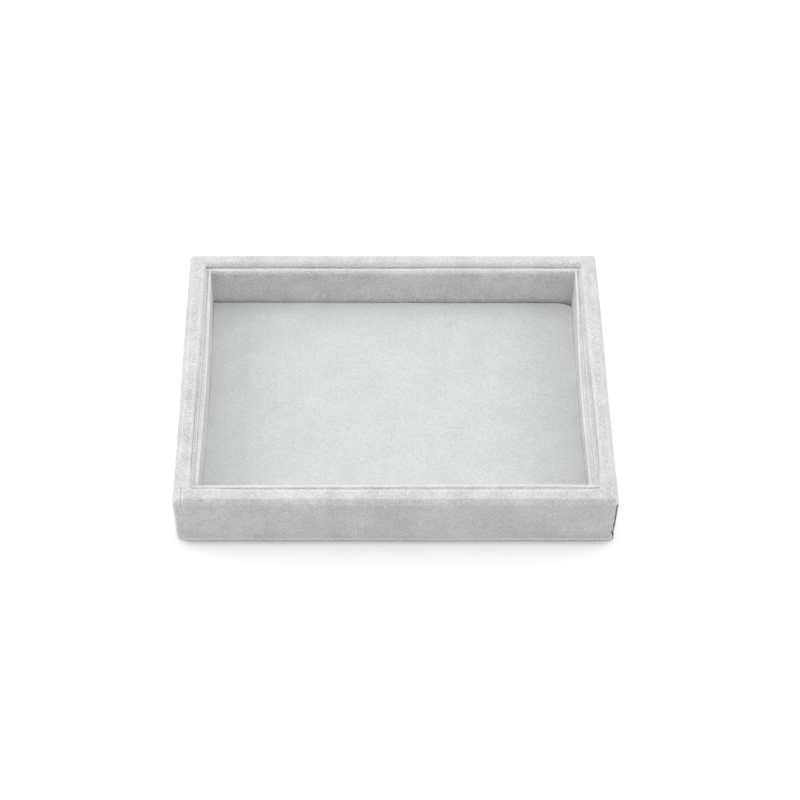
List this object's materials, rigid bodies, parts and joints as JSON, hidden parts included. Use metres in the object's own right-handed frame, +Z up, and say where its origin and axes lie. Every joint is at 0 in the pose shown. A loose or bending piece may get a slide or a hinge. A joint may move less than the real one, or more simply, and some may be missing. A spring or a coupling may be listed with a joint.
{
  "type": "jewelry tray",
  "caption": "Low open rectangular jewelry tray wrapped in velvet, with a velvet liner standing round its well and a velvet pad on the floor that lifts out.",
  "frame": {"origin": "middle of the tray's underside, on the surface that it stands on", "axes": "+X runs to the right along the long front, +Y from the front to the back, +Z up out of the well"},
  "size_m": [0.24, 0.18, 0.04],
  "materials": {
    "velvet": "matte",
    "bottom_felt": "matte",
    "fibreboard": "matte",
    "greyboard": "matte",
    "foam": "matte",
    "brad_steel": "satin"
  },
  "bodies": {
    "tray": {"bottom_cover": "bottom_felt", "base_board": "fibreboard", "front_wall_board": "fibreboard", "back_wall_board": "fibreboard", "left_wall_board": "fibreboard", "right_wall_board": "fibreboard", "corner_brads": "brad_steel", "outer_velvet_wrap": "velvet", "front_liner_board": "greyboard", "front_liner_velvet": "velvet", "back_liner_board": "greyboard", "back_liner_velvet": "velvet", "left_liner_board": "greyboard", "left_liner_velvet": "velvet", "right_liner_board": "greyboard", "right_liner_velvet": "velvet"},
    "pad": {"pad_board": "greyboard", "pad_foam": "foam", "pad_velvet_cover": "velvet"}
  },
  "joints": [
    {"name": "pad_lift", "type": "slide", "parent": "tray", "child": "pad", "axis": [0, 0, 1], "range_m": [0, 0.05]}
  ]
}
